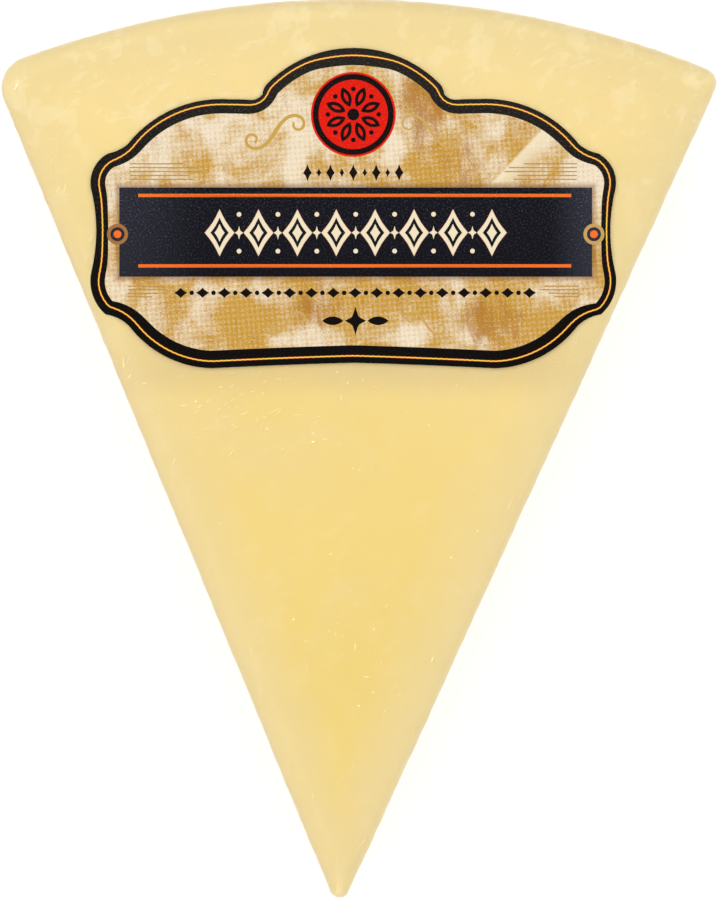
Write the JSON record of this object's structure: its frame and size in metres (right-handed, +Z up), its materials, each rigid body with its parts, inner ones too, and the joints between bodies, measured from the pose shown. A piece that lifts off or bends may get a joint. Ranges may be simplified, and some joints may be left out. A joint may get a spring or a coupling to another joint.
{
  "type": "film-wrapped parmesan chunk",
  "caption": "Wedge of hard yellow cheese cut from a round, tight in clear film, with an ornamental paper label on its top face.",
  "frame": {"origin": "middle of the bounding box, at the height of the flat base", "axes": "+X to the right of the label, +Y from the wedge's point to its rounded rear and to the top of the label, +Z up out of the top face"},
  "size_m": [0.1016, 0.1278, 0.0318],
  "materials": {
    "cheese_in_film": "pale yellow, fine-grained hard cheese under a skin-tight, slightly wrinkled clear film",
    "printed_label": "coated paper print: parchment and ochre with a dark band, a black border, gold lines and a red rosette"
  },
  "bodies": {
    "root": {"wrapped_cheese": "cheese_in_film", "top_label": "printed_label"}
  },
  "joints": []
}
